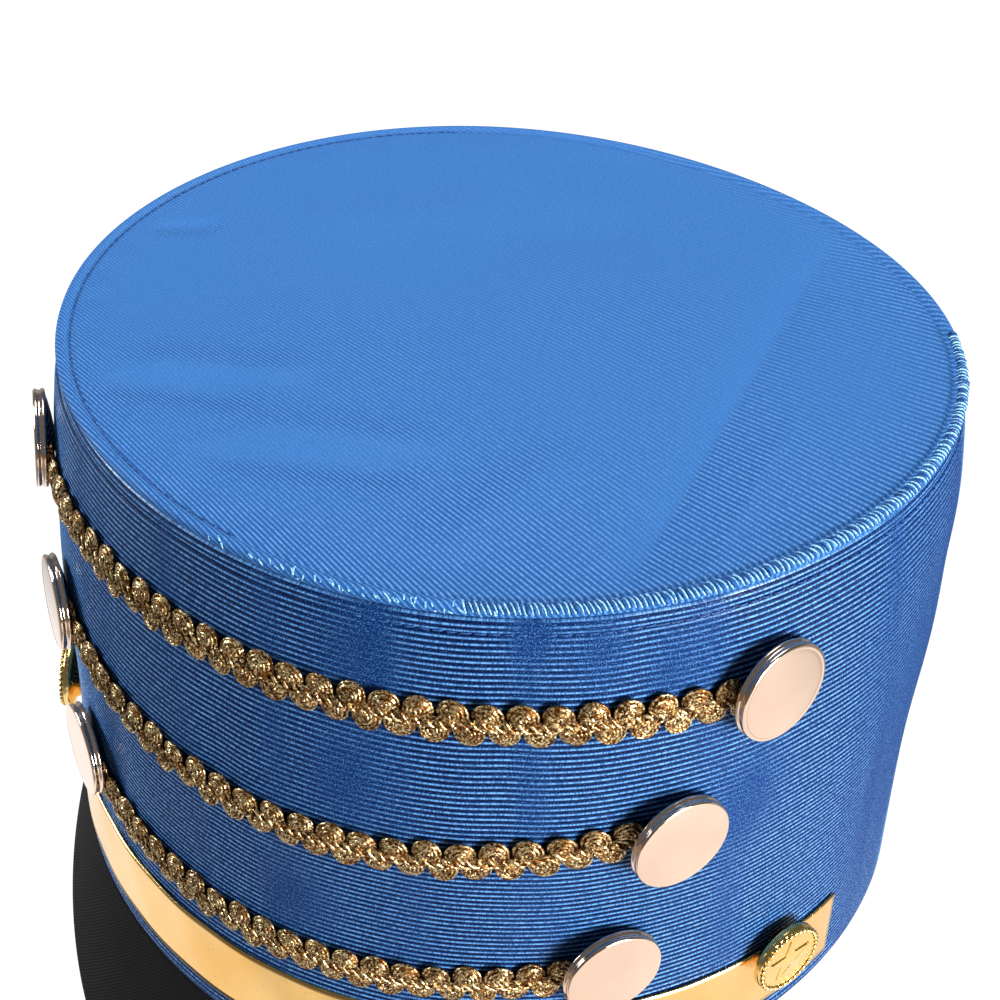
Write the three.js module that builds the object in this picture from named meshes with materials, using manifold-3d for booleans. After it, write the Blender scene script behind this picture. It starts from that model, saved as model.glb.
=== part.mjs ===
// A marching band hat: a tall, slightly tapered oval crown of ribbed blue cloth over stiff board, a
// steep black cloth visor, a gold foil band, three gold gimp braids looped from button to button
// across the front, three pairs of flat rose-gold buttons and one star button at each side.
// Millimetres. The hat is drawn upright in its own group, with the front towards -Y and the rim at
// z = 0, and the group is then tipped back so that it stands on its back rim and its visor.
import * as THREE from "three";
import { mergeVertices } from "three/addons/utils/BufferGeometryUtils.js";
import Module from "manifold-3d";

const manifold = await Module();
manifold.setup();

// Crown
const RIM_HALF_WIDTH = 97;
const RIM_HALF_DEPTH = 91.5;
const TOP_HALF_WIDTH = 94;
const TOP_HALF_DEPTH = 82.5;
const CROWN_HEIGHT = 128;
const TOP_SHIFT_RIGHT = 0.75; // the soft top leans a little
const TOP_SHIFT_BACK = 2.5;
const TOP_LEAN = 0.031; // rise of the top for each mm to the right
const WALL = 2.2; // cloth over board
const HEM_ROUND = 0.8; // rounding of the folded lower edge
const SHOULDER = { height: 120, inset: 0.9 }; // where the wall starts to turn in, and by how much
const TOP_THICKNESS = 2;
const SEAM_BEAD = 1.1; // half the width of the bead along the top edge
const SEAM_GROOVE = 0.3; // depth of the stitched groove inside the bead
const SEAM_RISE = 0.4; // height of the bead over the top
const GAP = 0.3; // clearance between two pieces that touch
const AROUND = 88; // facets round the crown

// How much fuller than a plain oval the crown is, as shares of its radius
const EGG_TOP = 0.009; // three-lobed: full at the front and at the back corners
const EGG_RIM = 0.006;
const TWIST = 0.006; // a soft unevenness from hand pressing
const BELLY = { share: 0.022, at: 0.6, spread: 0.2 }; // padding all round, above half height
const SIDE_BELLY = { share: 0.018, at: 0.84, spread: 0.12 }; // at the left and right sides

// Visor
const VISOR_SLOPE = THREE.MathUtils.degToRad(70); // below the horizontal
const VISOR_END = THREE.MathUtils.degToRad(70); // corners, from the front
const VISOR_LEVEL = THREE.MathUtils.degToRad(25); // half of the stretch that meets the floor
const VISOR_THICKNESS = 2.2;
const VISOR_TAB = 8; // height sewn inside the crown
const VISOR_TUCK = WALL + GAP + 0.1; // inset of the sewn tab's outer face
const VISOR_LEAST = 0.04; // share of the full length that is left at the corners
const VISOR_STEPS = 44;
const REST_TILT = THREE.MathUtils.degToRad(12);

// Gold band
const BAND = { low: 5.6, high: 23.4, end: THREE.MathUtils.degToRad(78), thickness: 0.6, steps: 52 };

// Gimp braids and the buttons at their ends, a row for each
const BRAID = { width: 9.8, thickness: 1.6, loop: 6.2, scallop: 1.1, short: 2, stepsPerLoop: 4 };
const BRAID_ROWS = [
  { name: "braid_upper", front: 104, end: 103.5, buttonAngle: 56.5, buttonHeight: 105.5 },
  { name: "braid_middle", front: 69, end: 75, buttonAngle: 45.7, buttonHeight: 75 },
  { name: "braid_lower", front: 33.3, end: 37, buttonAngle: 39.7, buttonHeight: 40.3 },
];
const BUTTON = { radius: 10.5, shankRadius: 2.2, back: 2.3, face: 4.9, facets: 26 };
const BUTTON_RIM = { round: 0.9, lip: 1.4, hang: 0.5 }; // hang: how far the rim stands behind the back

// Star buttons at the sides
const STAR = { angle: 65.6, height: 22.6, radius: 8.3, neckRadius: 5.6, back: 2.6, face: 5.2 };
const STAR_BEVEL = 0.6;
const STAR_RELIEF = { points: 5, outer: 5.6, inner: 2.3, rise: 0.5, sink: 0.4 };
const STAR_ROPE = { rise: 0.6, width: 1.2, facets: 30 };

const clothBlue = new THREE.MeshStandardMaterial({ color: 0x1f5cb4, roughness: 0.55, metalness: 0 });
const topBlue = new THREE.MeshStandardMaterial({ color: 0x2f6cc2, roughness: 0.6, metalness: 0 });
const visorBlack = new THREE.MeshStandardMaterial({ color: 0x17130f, roughness: 0.8, metalness: 0 });
const goldFoil = new THREE.MeshStandardMaterial({ color: 0xf2bf62, roughness: 0.2, metalness: 1 });
const goldThread = new THREE.MeshStandardMaterial({ color: 0xb88a2c, roughness: 0.35, metalness: 1 });
const roseGold = new THREE.MeshStandardMaterial({ color: 0xe8b596, roughness: 0.15, metalness: 1 });
const yellowGold = new THREE.MeshStandardMaterial({ color: 0xe0a83a, roughness: 0.2, metalness: 1 });

const bell = (share, { at, spread }) => Math.exp(-(((share - at) / spread) ** 2));

// A point on the crown's outer face. The angle runs from the front towards the wearer's left,
// which is the +X side, and inset is how far inside the face the point lies.
function crownFace(angle, height) {
  const share = height / CROWN_HEIGHT;
  const halfWidth = THREE.MathUtils.lerp(RIM_HALF_WIDTH, TOP_HALF_WIDTH, share);
  const halfDepth = THREE.MathUtils.lerp(RIM_HALF_DEPTH, TOP_HALF_DEPTH, share);
  const fullness =
    1 +
    THREE.MathUtils.lerp(EGG_RIM, EGG_TOP, share) * Math.cos(3 * angle) +
    TWIST * Math.sin(4 * angle) +
    BELLY.share * bell(share, BELLY) +
    SIDE_BELLY.share * bell(share, SIDE_BELLY) * Math.sin(angle) ** 2;
  const x = halfWidth * Math.sin(angle) * fullness + TOP_SHIFT_RIGHT * share;
  const y = TOP_SHIFT_BACK * share - halfDepth * Math.cos(angle) * fullness;
  return new THREE.Vector3(x, y, height + TOP_LEAN * x * share);
}

function crownNormal(angle, height) {
  const step = 0.01;
  const along = crownFace(angle + step, height).sub(crownFace(angle - step, height));
  const up = crownFace(angle, height + 1).sub(crownFace(angle, height - 1));
  return along.cross(up).normalize();
}

function crownPoint(angle, height, inset) {
  const outward = crownNormal(angle, height).setZ(0).normalize();
  return crownFace(angle, height).addScaledVector(outward, -inset);
}

function crownRing(height, inset) {
  return Array.from({ length: AROUND }, (_, i) => crownPoint((2 * Math.PI * i) / AROUND, height, inset));
}

// Triangles that fill a flat closed section, as indices of its points
function fill(section) {
  const normal = new THREE.Vector3();
  section.forEach((p, i) => normal.add(p.clone().cross(section[(i + 1) % section.length])));
  const across = section[1].clone().sub(section[0]).normalize();
  const up = normal.normalize().cross(across);
  const outline = section.map((p) => new THREE.Vector2(p.dot(across), p.dot(up)));
  return THREE.ShapeUtils.triangulateShape(outline, []);
}

// Skins a row of closed sections of equal length. The row either closes on itself or is capped at
// each end.
function loft(sections, closesOnItself = false) {
  const count = sections[0].length;
  const points = sections.flat();
  const index = [];
  const spans = closesOnItself ? sections.length : sections.length - 1;
  for (let row = 0; row < spans; row++) {
    const next = (row + 1) % sections.length;
    for (let i = 0; i < count; i++) {
      const j = (i + 1) % count;
      index.push(row * count + i, row * count + j, next * count + j);
      index.push(row * count + i, next * count + j, next * count + i);
    }
  }
  if (!closesOnItself) {
    const last = (sections.length - 1) * count;
    for (const [a, b, c] of fill(sections[0])) {
      index.push(c, b, a);
      index.push(last + a, last + b, last + c);
    }
  }
  const geometry = new THREE.BufferGeometry().setFromPoints(points);
  geometry.setIndex(index);
  return facingOut(geometry);
}

function facingOut(geometry) {
  const at = geometry.getAttribute("position");
  const index = geometry.getIndex().array;
  const corner = (i) => new THREE.Vector3().fromBufferAttribute(at, index[i]);
  let volume = 0;
  for (let i = 0; i < index.length; i += 3) {
    volume += corner(i).dot(corner(i + 1).cross(corner(i + 2)));
  }
  if (volume < 0) {
    for (let i = 0; i < index.length; i += 3) {
      [index[i], index[i + 1]] = [index[i + 1], index[i]];
    }
  }
  geometry.computeVertexNormals();
  return geometry;
}

// Crown wall: an open tube, its top edge turned in under the top
function crownSide() {
  const top = CROWN_HEIGHT - TOP_THICKNESS - GAP;
  const outer = [
    { height: 0, inset: HEM_ROUND / 2 },
    { height: HEM_ROUND, inset: 0 },
    { height: 24, inset: 0 },
    { height: 46, inset: 0 },
    { height: 64, inset: 0 },
    { height: 80, inset: 0 },
    { height: 96, inset: 0 },
    { height: 110, inset: 0 },
    { height: SHOULDER.height, inset: 0.1 },
    { height: top, inset: SHOULDER.inset },
  ];
  const inner = [
    { height: top, inset: WALL + SHOULDER.inset },
    { height: 100, inset: WALL },
    { height: 64, inset: WALL },
    { height: 0, inset: WALL },
  ];
  return loft([...outer, ...inner].map((p) => crownRing(p.height, p.inset)), true);
}

// Crown top: a flat disc with a bead where it is sewn to the wall, drawn in shares of its radius
function crownTop() {
  const rim = crownRing(CROWN_HEIGHT, 0);
  const middleHeight = CROWN_HEIGHT + TOP_LEAN * TOP_SHIFT_RIGHT;
  const middle = new THREE.Vector3(TOP_SHIFT_RIGHT, TOP_SHIFT_BACK, middleHeight);
  const ring = (inset, drop) =>
    rim.map((p) => {
      const flat = p.clone().sub(middle).setZ(0);
      const share = 1 - inset / flat.length();
      return middle.clone().lerp(p, share).setZ(THREE.MathUtils.lerp(middle.z, p.z, share) - drop);
    });
  const sections = [
    { inset: 60, drop: 0 },
    { inset: 30, drop: 0 },
    { inset: 3 * SEAM_BEAD, drop: 0 },
    { inset: 2 * SEAM_BEAD, drop: SEAM_GROOVE },
    { inset: SEAM_BEAD, drop: -SEAM_RISE },
    { inset: 0.2, drop: 0.2 },
    { inset: 0, drop: SEAM_BEAD },
    { inset: SHOULDER.inset, drop: TOP_THICKNESS },
    { inset: 30, drop: TOP_THICKNESS },
  ];
  return loft(sections.map((s) => ring(s.inset, s.drop)));
}

// Visor: sewn inside the rim, turned out under it and sloping steeply down. Across the front its
// edge lies in the plane on which the hat rests, and it runs out to nothing at the two corners.
function visor() {
  const backRim = crownPoint(Math.PI, 0, 0);
  const rise = Math.tan(REST_TILT);
  const cosSlope = Math.cos(VISOR_SLOPE);
  const sinSlope = Math.sin(VISOR_SLOPE);
  const lengthToFloor = (start, angle) =>
    (start.z + rise * (backRim.y - start.y)) / (sinSlope - rise * Math.cos(angle) * cosSlope);
  const shareAt = (angle) => {
    const past = (Math.abs(angle) - VISOR_LEVEL) / (VISOR_END - VISOR_LEVEL);
    return 1 - Math.max(0, past) ** 1.5;
  };
  const sections = [];
  for (let i = 0; i <= VISOR_STEPS; i++) {
    const angle = THREE.MathUtils.lerp(-VISOR_END, VISOR_END, i / VISOR_STEPS);
    const outward = new THREE.Vector3(Math.sin(angle), -Math.cos(angle), 0);
    const at = (inset, height) => crownPoint(angle, height, inset);
    const down = outward.clone().multiplyScalar(cosSlope).setZ(-sinSlope);
    const top = at(0.2, -GAP);
    const under = top.clone().addScaledVector(outward, -VISOR_THICKNESS * sinSlope);
    under.z -= VISOR_THICKNESS * cosSlope;
    const share = Math.max(shareAt(angle), VISOR_LEAST);
    const reach = (start, part) => start.clone().addScaledVector(down, lengthToFloor(start, angle) * part);
    sections.push([
      at(VISOR_TUCK, VISOR_TAB),
      at(VISOR_TUCK, -GAP),
      top,
      reach(top, 0.5 * share),
      reach(top, share),
      reach(under, share),
      reach(under, 0.5 * share),
      at(VISOR_TUCK + VISOR_THICKNESS, -GAP - VISOR_THICKNESS),
      at(VISOR_TUCK + VISOR_THICKNESS, VISOR_TAB),
    ]);
  }
  return loft(sections);
}

// Gold band: one strip of foil round the front, ending just behind the side buttons
function goldBand() {
  const sections = [];
  for (let i = 0; i <= BAND.steps; i++) {
    const angle = THREE.MathUtils.lerp(-BAND.end, BAND.end, i / BAND.steps);
    sections.push([
      crownPoint(angle, BAND.low, -GAP),
      crownPoint(angle, BAND.high, -GAP),
      crownPoint(angle, BAND.high, -GAP - BAND.thickness),
      crownPoint(angle, BAND.low, -GAP - BAND.thickness),
    ]);
  }
  return loft(sections);
}

// Gimp braid: a flat strip with staggered scallops along its two edges, ending at the two shanks
function braid(row) {
  const buttonAngle = THREE.MathUtils.degToRad(row.buttonAngle);
  const radius = crownFace(buttonAngle, row.end).setZ(0).length();
  const end = buttonAngle - (BUTTON.shankRadius + BRAID.short) / radius;
  const loops = Math.round((2 * end * radius) / BRAID.loop);
  const steps = loops * BRAID.stepsPerLoop;
  const sections = [];
  for (let i = 0; i <= steps; i++) {
    const angle = THREE.MathUtils.lerp(-end, end, i / steps);
    const middle = THREE.MathUtils.lerp(row.front, row.end, (angle / end) ** 2);
    const wave = Math.cos((2 * Math.PI * i) / BRAID.stepsPerLoop);
    const upper = BRAID.width / 2 - (BRAID.scallop * (1 - wave)) / 2;
    const lower = BRAID.width / 2 - (BRAID.scallop * (1 + wave)) / 2;
    const at = (across, out) => crownPoint(angle, middle + across, -GAP - out);
    sections.push([
      at(-lower, 0),
      at(upper, 0),
      at(upper, BRAID.thickness / 2),
      at(0.65 * upper, BRAID.thickness),
      at(-0.65 * lower, BRAID.thickness),
      at(-lower, BRAID.thickness / 2),
    ]);
  }
  return loft(sections);
}

// Turns a shape that stands on the XZ plane, with its axis along +Y, into a shape that stands on
// the crown with its axis along the face's normal.
function seatOnCrown(mesh, angleDegrees, height) {
  const angle = THREE.MathUtils.degToRad(angleDegrees);
  const normal = crownNormal(angle, height);
  mesh.quaternion.setFromUnitVectors(new THREE.Vector3(0, 1, 0), normal);
  mesh.position.copy(crownFace(angle, height));
  return mesh;
}

// Flat button: a pressed disc with a rounded rim on a short shank
function flatButton() {
  const profile = [
    { radius: 0, out: GAP },
    { radius: BUTTON.shankRadius, out: GAP },
    { radius: BUTTON.shankRadius, out: BUTTON.back + BUTTON_RIM.hang },
    { radius: BUTTON.radius - BUTTON_RIM.lip, out: BUTTON.back + BUTTON_RIM.hang },
    { radius: BUTTON.radius - BUTTON_RIM.lip / 2, out: BUTTON.back },
    { radius: BUTTON.radius, out: BUTTON.back + BUTTON_RIM.round },
    { radius: BUTTON.radius, out: BUTTON.face - BUTTON_RIM.round },
    { radius: BUTTON.radius - BUTTON_RIM.round, out: BUTTON.face },
    { radius: 0, out: BUTTON.face },
  ];
  const points = profile.map((p) => new THREE.Vector2(p.radius, p.out));
  return new THREE.LatheGeometry(points, BUTTON.facets);
}

function toSolid(geometry) {
  const bare = geometry.clone();
  bare.deleteAttribute("normal");
  bare.deleteAttribute("uv");
  const merged = mergeVertices(bare, 1e-4);
  return new manifold.Manifold(
    new manifold.Mesh({
      numProp: 3,
      vertProperties: new Float32Array(merged.getAttribute("position").array),
      triVerts: new Uint32Array(merged.getIndex().array),
    }),
  );
}

function fromSolid(solid) {
  const mesh = solid.getMesh();
  const geometry = new THREE.BufferGeometry();
  geometry.setAttribute("position", new THREE.BufferAttribute(mesh.vertProperties, 3));
  geometry.setIndex(new THREE.BufferAttribute(mesh.triVerts, 1));
  geometry.computeVertexNormals();
  return geometry;
}

// Star button: a deep disc with a rope rim and a plain five-pointed star raised on its face
function starButton() {
  const seat = GAP + BAND.thickness + GAP;
  const profile = [
    { radius: 0, out: seat },
    { radius: STAR.neckRadius, out: seat },
    { radius: STAR.neckRadius + STAR_BEVEL, out: STAR.back },
    { radius: STAR.radius - STAR_BEVEL, out: STAR.back + STAR_BEVEL },
    { radius: STAR.radius, out: STAR.face - STAR_BEVEL },
    { radius: STAR.radius - STAR_ROPE.width / 2, out: STAR.face + STAR_ROPE.rise },
    { radius: STAR.radius - STAR_ROPE.width, out: STAR.face },
    { radius: 0, out: STAR.face },
  ];
  const points = profile.map((p) => new THREE.Vector2(p.radius, p.out));
  const disc = new THREE.LatheGeometry(points, STAR_ROPE.facets);
  const outline = new THREE.Shape();
  for (let i = 0; i < 2 * STAR_RELIEF.points; i++) {
    const radius = i % 2 === 0 ? STAR_RELIEF.outer : STAR_RELIEF.inner;
    const turn = Math.PI / 2 + (Math.PI * i) / STAR_RELIEF.points;
    const move = i === 0 ? "moveTo" : "lineTo";
    outline[move](radius * Math.cos(turn), radius * Math.sin(turn));
  }
  outline.closePath();
  const star = new THREE.ExtrudeGeometry(outline, {
    depth: STAR_RELIEF.rise + STAR_RELIEF.sink,
    bevelEnabled: false,
  });
  star.rotateX(-Math.PI / 2);
  star.translate(0, STAR.face - STAR_RELIEF.sink, 0);
  return fromSolid(toSolid(disc).add(toSolid(star)));
}

const upright = new THREE.Group();

function addPiece(name, geometry, material) {
  const mesh = new THREE.Mesh(geometry, material);
  mesh.name = name;
  upright.add(mesh);
  return mesh;
}

addPiece("crown_side", crownSide(), clothBlue);
addPiece("crown_top", crownTop(), topBlue);
addPiece("visor", visor(), visorBlack);
addPiece("gold_band", goldBand(), goldFoil);
BRAID_ROWS.forEach((row, i) => {
  addPiece(row.name, braid(row), goldThread);
  for (const [side, sign] of [["left", -1], ["right", 1]]) {
    const button = addPiece(`button_${side}_${i + 1}`, flatButton(), roseGold);
    seatOnCrown(button, sign * row.buttonAngle, row.buttonHeight);
  }
});
for (const [side, sign] of [["left", -1], ["right", 1]]) {
  seatOnCrown(addPiece(`star_button_${side}`, starButton(), yellowGold), sign * STAR.angle, STAR.height);
}

// The hat tipped back on its rim and visor, its box centred over the origin
upright.rotation.x = -REST_TILT;
const group = new THREE.Group();
group.add(upright);
group.updateMatrixWorld(true);
const box = new THREE.Box3().setFromObject(group, true);
const middle = box.getCenter(new THREE.Vector3());
upright.position.set(-middle.x, -middle.y, -box.min.z);

export default group;
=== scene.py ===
import math

import bpy
import numpy as np
from mathutils import Matrix, Vector


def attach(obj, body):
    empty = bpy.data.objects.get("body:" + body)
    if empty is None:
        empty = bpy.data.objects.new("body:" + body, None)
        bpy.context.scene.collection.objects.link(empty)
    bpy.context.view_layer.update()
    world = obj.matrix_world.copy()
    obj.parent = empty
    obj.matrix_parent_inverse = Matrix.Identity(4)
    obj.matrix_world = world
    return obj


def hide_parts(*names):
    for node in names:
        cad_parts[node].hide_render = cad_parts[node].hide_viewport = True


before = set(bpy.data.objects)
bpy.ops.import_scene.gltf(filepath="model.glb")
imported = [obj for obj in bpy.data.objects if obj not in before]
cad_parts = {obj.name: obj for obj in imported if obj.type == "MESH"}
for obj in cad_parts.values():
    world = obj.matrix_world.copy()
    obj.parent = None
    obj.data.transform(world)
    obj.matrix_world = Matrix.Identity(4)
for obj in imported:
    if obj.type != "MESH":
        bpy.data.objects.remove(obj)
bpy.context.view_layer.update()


# Crown wall
# A tall oval tube of stiff board covered in shiny faille, whose ribs run round the hat. The cloth is
# glued over the board and folded in at the hem, and pressing by hand has left soft upright dents.
# The hat is drawn upright in millimetres, front towards -Y and rim at height 0, then tipped back.
MM = 0.001
REST_TILT = math.radians(12)
HAT_ORIGIN = np.array([-0.409, 2.331, 18.910]) * MM
TIP_BACK = np.array(Matrix.Rotation(-REST_TILT, 3, "X"))

RIM_HALF = (97.0, 91.5)
TOP_HALF = (94.0, 82.5)
CROWN_HEIGHT = 128.0
TOP_SHIFT = (0.75, 2.5)
TOP_LEAN = 0.031
WALL = 2.2
EGG_RIM = 0.006
EGG_TOP = 0.009
TWIST = 0.006
BELLY = (0.022, 0.6, 0.2)
SIDE_BELLY = (0.018, 0.84, 0.12)
TOP_THICKNESS = 2.0
GAP = 0.3
HEM_ROUND = 0.8
SHOULDER = 8.0
SHOULDER_INSET = 0.9
WALL_START = 0.4
WALL_COLUMNS = 320
WALL_MAP_RADIUS = 94.0
WALL_RIB = 1.3
ROWS_PER_RIB = 3
RIB_DEPTH = 0.27
SEAM_DROP = 3.2
SEAM_SINK = 0.35


def stand(points):
    """Points of the upright hat in millimetres, to their resting place in metres."""
    return np.asarray(points) * MM @ TIP_BACK.T + HAT_ORIGIN


def stand_directions(directions):
    return np.asarray(directions) @ TIP_BACK.T


def bell(value, middle, spread):
    return np.exp(-(((value - middle) / spread) ** 2))


def stacked(*parts):
    """Arrays side by side on a last axis, with single numbers spread to fit."""
    return np.stack(np.broadcast_arrays(*parts), axis=-1)


def crown_face(angle, height):
    """Points of the crown's outer face, by angle from the front and height up the wall."""
    angle, height = np.broadcast_arrays(np.asarray(angle, float), np.asarray(height, float))
    share = height / CROWN_HEIGHT
    half_width = RIM_HALF[0] + (TOP_HALF[0] - RIM_HALF[0]) * share
    half_depth = RIM_HALF[1] + (TOP_HALF[1] - RIM_HALF[1]) * share
    fullness = (
        1
        + (EGG_RIM + (EGG_TOP - EGG_RIM) * share) * np.cos(3 * angle)
        + TWIST * np.sin(4 * angle)
        + BELLY[0] * bell(share, *BELLY[1:])
        + SIDE_BELLY[0] * bell(share, *SIDE_BELLY[1:]) * np.sin(angle) ** 2
    )
    x = half_width * np.sin(angle) * fullness + TOP_SHIFT[0] * share
    y = TOP_SHIFT[1] * share - half_depth * np.cos(angle) * fullness
    return stacked(x, y, height + TOP_LEAN * x * share)


def unit(vectors):
    return vectors / np.linalg.norm(vectors, axis=-1, keepdims=True)


def crown_axes(angle, height):
    """Unit vectors along the crown and out of it."""
    along = crown_face(np.add(angle, 0.01), height) - crown_face(np.subtract(angle, 0.01), height)
    up = crown_face(angle, np.add(height, 1.0)) - crown_face(angle, np.subtract(height, 1.0))
    return unit(along), unit(np.cross(along, up))


def crown_point(angle, height, out=0.0):
    """A point that stands out from the crown's face, level with the rim."""
    level = unit(crown_axes(angle, height)[1] * (1, 1, 0))
    return crown_face(angle, height) + level * np.asarray(out, float)[..., None]


# Soft dents: angle and height of the middle, half width in degrees, half height, depth
DENTS = (
    (-9.0, 74.0, 3.0, 20.0, 0.5),
    (-31.0, 60.0, 4.0, 26.0, 0.4),
    (13.0, 52.0, 6.0, 20.0, 0.4),
    (26.0, 96.0, 3.2, 26.0, 0.45),
    (41.0, 112.0, 3.0, 12.0, 0.35),
    (40.0, 58.0, 4.0, 24.0, 0.3),
    (62.0, 84.0, 7.0, 34.0, 0.5),
    (88.0, 60.0, 8.0, 40.0, 0.5),
    (140.0, 64.0, 9.0, 40.0, 0.7),
    (-120.0, 70.0, 8.0, 36.0, 0.7),
    (185.0, 60.0, 10.0, 40.0, 0.6),
)
# Patches where the ribs fade, shallower and with less painted highlight and shade, and painted glints show
# instead: angle, height, half width, half height
RIB_FADES = (
    (8.5, 114.0, 5.2, 15.0),
    (7.5, 84.0, 5.0, 12.0),
    (2.0, 47.0, 5.0, 10.0),
    (35.5, 119.0, 3.2, 9.0),
    (28.0, 122.0, 3.0, 5.0),
    (44.0, 112.0, 3.0, 10.0),
    (57.0, 74.0, 5.0, 12.0),
    (92.0, 60.0, 14.0, 80.0),
    (-66.0, 76.0, 12.0, 60.0),
    (125.0, 80.0, 10.0, 20.0),
    (-150.0, 60.0, 9.0, 24.0),
)


def turn_from(angle, middle):
    return (np.degrees(angle) - middle + 180.0) % 360.0 - 180.0


def dent_depth(angle, height):
    return -sum(
        deep * bell(turn_from(angle, middle), 0, half_width) * bell(height, level, half_height)
        for middle, level, half_width, half_height, deep in DENTS
    )


def rib_strength(angle, height):
    faded = sum(
        bell(turn_from(angle, middle), 0, half_width) * bell(height, level, half_height)
        for middle, level, half_width, half_height in RIB_FADES
    )
    # Upright streaks where the ribs and their painted highlight and shade fade as well
    streaks = 0.6 * np.sin(19 * angle + 2.2 * np.sin(3 * angle) + 0.02 * height + 0.6)
    streaks = streaks + 0.4 * np.sin(43 * angle + 0.035 * height + 2.0) * np.sin(0.05 * height + 6 * angle)
    return np.clip(1.0 - 0.9 * faded - 0.6 * np.clip(streaks - 0.1, 0, 1), 0.06, 1.0)


def rib_wave(angle, height, reach):
    """How far a rib strays up or down, nothing at the hem and the top edge."""
    held = np.clip(height / 6.0, 0, 1) * np.clip((reach - height) / 6.0, 0, 1)
    wave = 0.9 * np.sin(angle + 0.6) + 0.35 * np.sin(3 * angle + height * 0.03) + 0.12 * np.sin(17 * angle)
    return wave * held


def add_mesh(name, points, faces, uv=None, smooth=True):
    """A piece at the world's origin from points in metres; uv gives one value for each point."""
    mesh = bpy.data.meshes.new(name)
    mesh.from_pydata(np.asarray(points).tolist(), [], faces)
    mesh.polygons.foreach_set("use_smooth", [smooth] * len(mesh.polygons))
    if uv is not None:
        corners = np.empty(len(mesh.loops), dtype=np.int32)
        mesh.loops.foreach_get("vertex_index", corners)
        layer = mesh.uv_layers.new(name="cloth")
        layer.data.foreach_set("uv", np.asarray(uv, dtype=np.float32)[corners].ravel())
    mesh.update()
    piece = bpy.data.objects.new(name, mesh)
    bpy.context.scene.collection.objects.link(piece)
    return piece


def grid_faces(rows, columns, close_rows=False):
    """Quads of a grid of rings whose points are numbered row by row."""
    faces = []
    for row in range(rows if close_rows else rows - 1):
        below = row * columns
        above = ((row + 1) % rows) * columns
        for column in range(columns):
            beside = (column + 1) % columns
            faces.append((below + column, below + beside, above + beside, above + column))
    return faces


def name_values(piece, name, values):
    attribute = piece.data.attributes.new(name, "FLOAT", "POINT")
    attribute.data.foreach_set("value", np.asarray(values, dtype=np.float32))


wall_top = CROWN_HEIGHT - TOP_THICKNESS - GAP
turns = np.linspace(-math.pi, math.pi, WALL_COLUMNS, endpoint=False)
arc = WALL_MAP_RADIUS * turns
ribs = int(wall_top / WALL_RIB)
rows, row_uv, row_strength = [], [], []
for step in range(ribs * ROWS_PER_RIB + 1):
    base = min(WALL_START + step * WALL_RIB / ROWS_PER_RIB, wall_top)
    height = base + rib_wave(turns, base, wall_top)
    strength = rib_strength(turns, base) * min(1.0, base / 3.0)
    ridge = math.cos(2 * math.pi * step / ROWS_PER_RIB)
    rounding = -0.4 * max(0.0, 1 - base / HEM_ROUND)
    past = max(0.0, (base - wall_top + SHOULDER) / SHOULDER)
    rounding -= SHOULDER_INSET * past**2
    seam = -SEAM_SINK * bell(base, wall_top - SEAM_DROP, 0.5)
    out = rounding + seam + RIB_DEPTH / 2 * (ridge - 1) * strength + dent_depth(turns, base)
    rows.append(crown_point(turns, height, out))
    row_uv.append(stacked(arc, step * WALL_RIB / ROWS_PER_RIB))
    row_strength.append(strength)
inner = [(wall_top, -WALL - SHOULDER_INSET), (100.0, -WALL), (64.0, -WALL), (30.0, -WALL)]
inner += [(0.3, -WALL), (0.0, -WALL + 0.3), (0.0, -0.8)]
for height, out in inner:
    rows.append(crown_point(turns, height, out))
    row_uv.append(stacked(arc, height))
    row_strength.append(np.full(WALL_COLUMNS, 0.3))
crown_side = add_mesh(
    "crown_side_cloth",
    stand(np.concatenate(rows)),
    grid_faces(len(rows), WALL_COLUMNS, close_rows=True),
    uv=np.concatenate(row_uv),
)
name_values(crown_side, "rib_strength", np.concatenate(row_strength))


def new_material(name):
    """A material, the sockets of its one surface and the wiring that feeds them."""
    material = bpy.data.materials.new(name)
    material.use_nodes = True
    nodes = material.node_tree.nodes
    nodes.clear()
    output = nodes.new("ShaderNodeOutputMaterial")
    surface = nodes.new("ShaderNodeBsdfPrincipled")
    material.node_tree.links.new(surface.outputs["BSDF"], output.inputs["Surface"])
    return material, surface.inputs, Wiring(material.node_tree)


class Wiring:
    """Adds nodes to one tree and wires their inputs; most calls return an output."""

    def __init__(self, tree):
        self.tree = tree

    def node(self, kind, inputs=(), **settings):
        made = self.tree.nodes.new(kind if "Node" in kind else "ShaderNode" + kind)
        for name, value in settings.items():
            setattr(made, name, value)
        for socket, value in inputs:
            self.feed(value, made.inputs[socket])
        return made

    def feed(self, value, socket):
        if isinstance(value, bpy.types.NodeSocket):
            self.tree.links.new(value, socket)
        else:
            socket.default_value = value

    def math(self, operation, first, second=0.0, clamp=False):
        pair = ((0, first), (1, second))
        return self.node("Math", pair, operation=operation, use_clamp=clamp).outputs[0]

    def mix(self, share, first, second, blend="MIX"):
        made = self.node("Mix", (), data_type="RGBA", blend_type=blend)
        for socket, value in ((0, share), (6, first), (7, second)):
            self.feed(value, made.inputs[socket])
        return made.outputs[2]

    def noise(self, vector, scale, detail=2.0):
        inputs = (("Vector", vector), ("Scale", scale), ("Detail", detail))
        return self.node("TexNoise", inputs).outputs["Fac"]

    def spread(self, value, low, high, to_low=0.0, to_high=1.0):
        inputs = ((0, value), (1, low), (2, high), (3, to_low), (4, to_high))
        return self.node("MapRange", inputs, clamp=True).outputs[0]

    def roughen(self, surface, height, depth_mm):
        """Gives a surface a fine relief."""
        bump = self.node("Bump", (("Height", height), ("Distance", depth_mm * MM)))
        self.feed(bump.outputs[0], surface["Normal"])


def add_sockets(tree, way, sockets):
    for name, kind in sockets:
        tree.interface.new_socket(name, in_out=way, socket_type="NodeSocket" + kind)


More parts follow.
